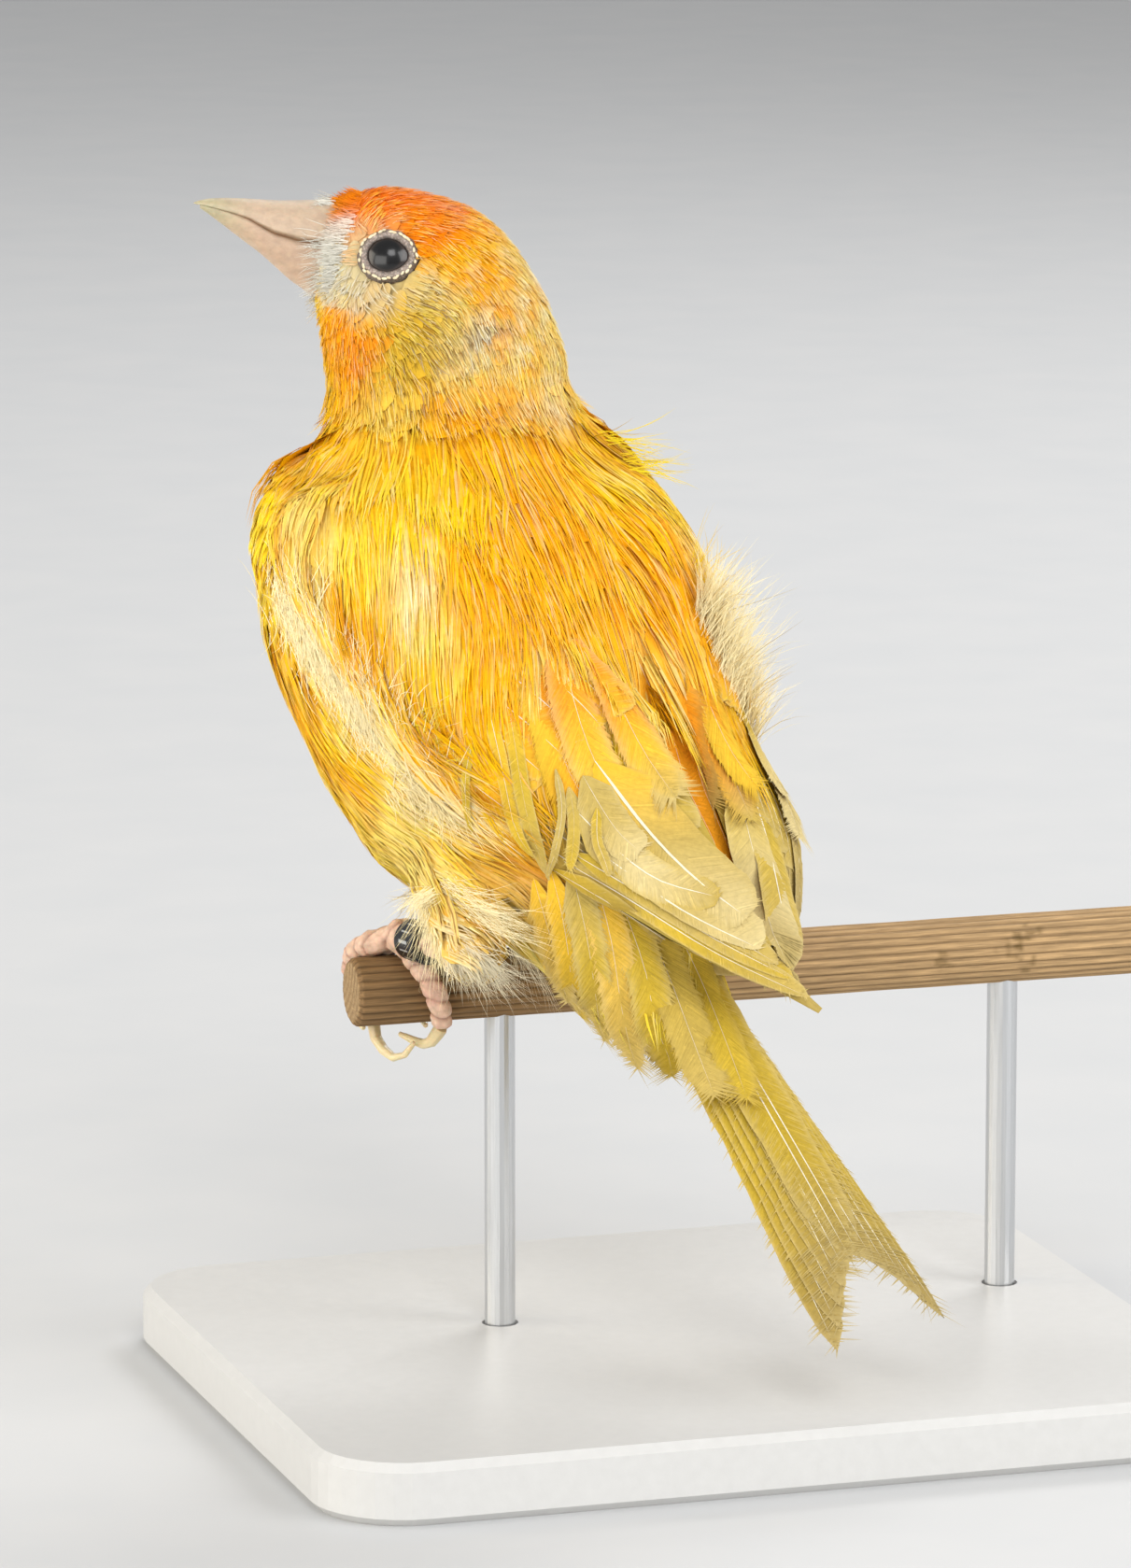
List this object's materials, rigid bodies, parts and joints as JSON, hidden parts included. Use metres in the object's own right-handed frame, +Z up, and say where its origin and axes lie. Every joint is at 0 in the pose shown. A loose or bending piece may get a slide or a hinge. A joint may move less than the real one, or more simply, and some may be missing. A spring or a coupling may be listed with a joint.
{
  "type": "perched canary model",
  "caption": "Life-size still model of a yellow canary on a cut length of ribbed wooden perch, held by a plain display stand.",
  "frame": {"origin": "middle of the underside of the stand's base", "axes": "+Z up; +X along the perch towards the left of the bird; the bird faces away over the perch towards -Y"},
  "size_m": [0.104, 0.078, 0.116],
  "materials": {
    "plumage": "soft yellow and orange body feathers",
    "flight_feathers": "pale yellow wing and tail feathers with whitish shafts",
    "bill": "pale pinkish horn, satin",
    "eye": "wet glossy black-brown",
    "bare_legs": "scaly pink skin",
    "claws": "cream translucent horn",
    "leg_ring": "black anodised, worn",
    "perch_wood": "raw ribbed softwood dowel",
    "stand_plate": "satin off-white paint on steel",
    "stand_rods": "brushed stainless rod"
  },
  "bodies": {
    "root": {"head": "plumage", "neck": "plumage", "trunk": "plumage", "thigh_left": "plumage", "thigh_right": "plumage", "wing_left": "flight_feathers", "wing_right": "flight_feathers", "tail": "flight_feathers", "bill_upper": "bill", "bill_lower": "bill", "eye_left": "eye", "eye_right": "eye", "leg_left": "bare_legs", "leg_right": "bare_legs", "foot_left": "bare_legs", "foot_right": "bare_legs", "claw_left_1": "claws", "claw_left_2": "claws", "claw_left_3": "claws", "claw_left_4": "claws", "claw_right_1": "claws", "claw_right_2": "claws", "claw_right_3": "claws", "claw_right_4": "claws", "leg_ring": "leg_ring", "perch": "perch_wood", "stand_base": "stand_plate", "stand_rod_1": "stand_rods", "stand_rod_2": "stand_rods"}
  },
  "joints": []
}
